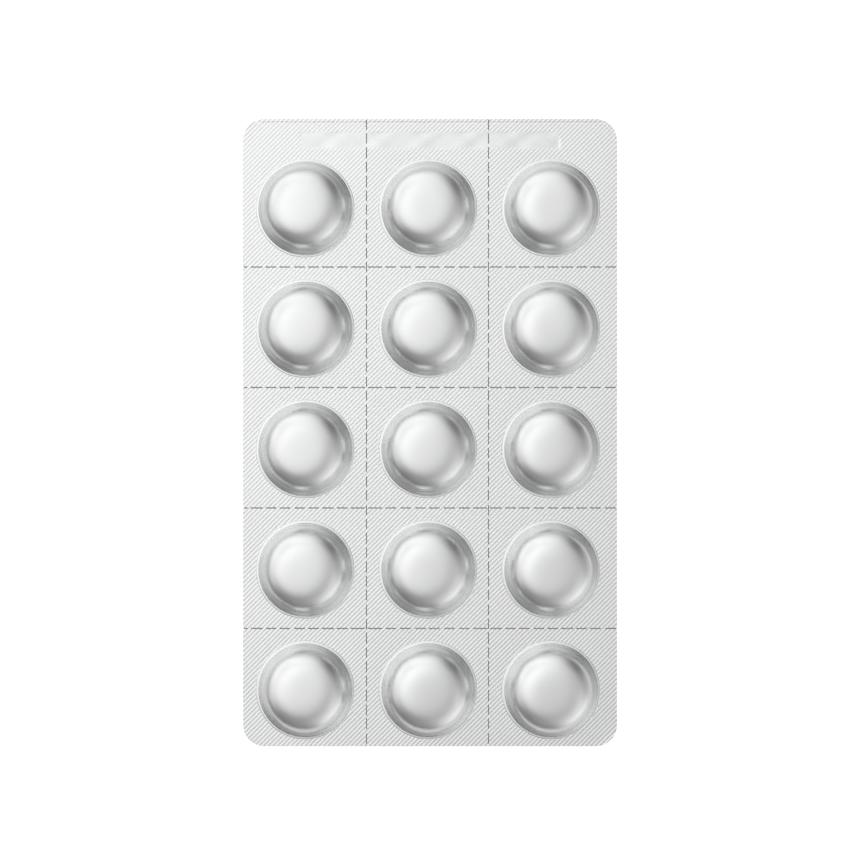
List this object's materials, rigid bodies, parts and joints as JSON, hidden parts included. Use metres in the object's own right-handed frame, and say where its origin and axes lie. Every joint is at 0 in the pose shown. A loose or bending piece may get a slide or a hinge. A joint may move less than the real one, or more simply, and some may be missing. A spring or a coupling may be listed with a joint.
{
  "type": "blister pack",
  "caption": "Flat foil blister card with rows of round domed pockets, perforated tear lines between the pockets, round corners and a smooth strip across the head.",
  "frame": {"origin": "under the middle of the card's outline, on the flat lidding face that the card rests on", "axes": "+X across the card, +Y along it towards the head with the smooth strip, +Z out of the domed side"},
  "size_m": [0.062, 0.104, 0.0046],
  "materials": {
    "foil": "bright cold-formed aluminium foil, heat-sealed with a fine diagonal knurl"
  },
  "bodies": {
    "root": {"blister_card": "foil"}
  },
  "joints": []
}
